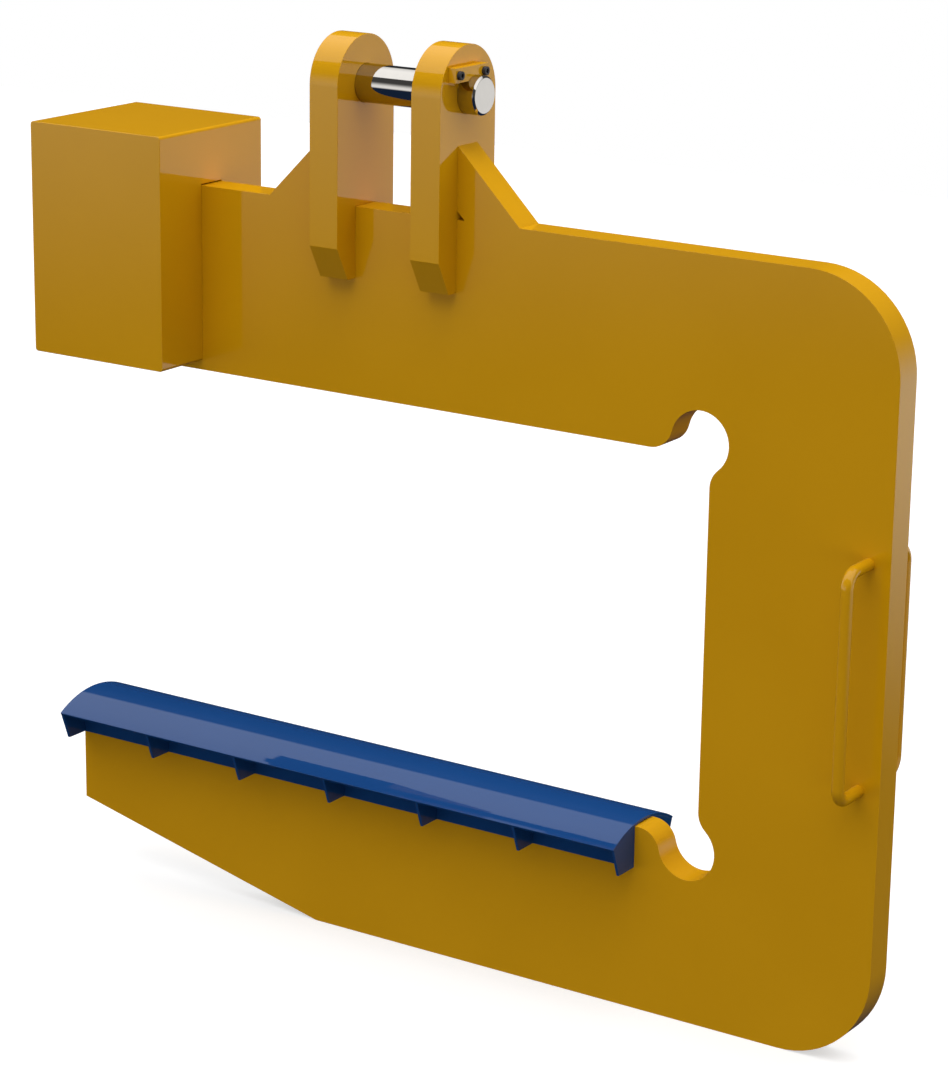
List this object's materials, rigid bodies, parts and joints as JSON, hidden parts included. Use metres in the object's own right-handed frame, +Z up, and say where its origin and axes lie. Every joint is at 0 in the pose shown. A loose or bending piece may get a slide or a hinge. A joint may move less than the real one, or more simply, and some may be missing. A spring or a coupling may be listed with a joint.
{
  "type": "c-hook",
  "caption": "C-shaped plate hook that carries a wound coil by its eye: ribbed saddle on the lower arm, counterweight, clevis ears with a kept lifting pin, and guide handles.",
  "frame": {"origin": "centre of the lifting pin, midway between the two ears, where the crane's hook takes hold", "axes": "+X along the pin from the arm tips to the leg, +Y through the plate to its back face, +Z up"},
  "size_m": [2, 0.35, 1.95],
  "materials": {
    "yellow_paint": "gloss",
    "blue_paint": "gloss",
    "polished_pin": "polished",
    "dark_screws": "satin"
  },
  "bodies": {
    "hook_frame": {"c_plate": "yellow_paint", "left_ear": "yellow_paint", "right_ear": "yellow_paint", "counterweight": "yellow_paint", "saddle_shell": "blue_paint", "saddle_skirt_front": "blue_paint", "saddle_skirt_back": "blue_paint", "saddle_rib_front_1": "blue_paint", "saddle_rib_front_2": "blue_paint", "saddle_rib_front_3": "blue_paint", "saddle_rib_front_4": "blue_paint", "saddle_rib_front_5": "blue_paint", "saddle_rib_front_6": "blue_paint", "saddle_rib_front_7": "blue_paint", "saddle_rib_back_1": "blue_paint", "saddle_rib_back_2": "blue_paint", "saddle_rib_back_3": "blue_paint", "saddle_rib_back_4": "blue_paint", "saddle_rib_back_5": "blue_paint", "saddle_rib_back_6": "blue_paint", "saddle_rib_back_7": "blue_paint", "handle_front": "yellow_paint", "handle_back": "yellow_paint"},
    "pin": {"lifting_pin": "polished_pin", "keeper_plate": "yellow_paint", "keeper_screws": "dark_screws"}
  },
  "joints": [
    {"name": "pin_slide", "type": "slide", "parent": "hook_frame", "child": "pin", "axis": [1, 0, 0], "range_m": [0, 0.265]}
  ]
}
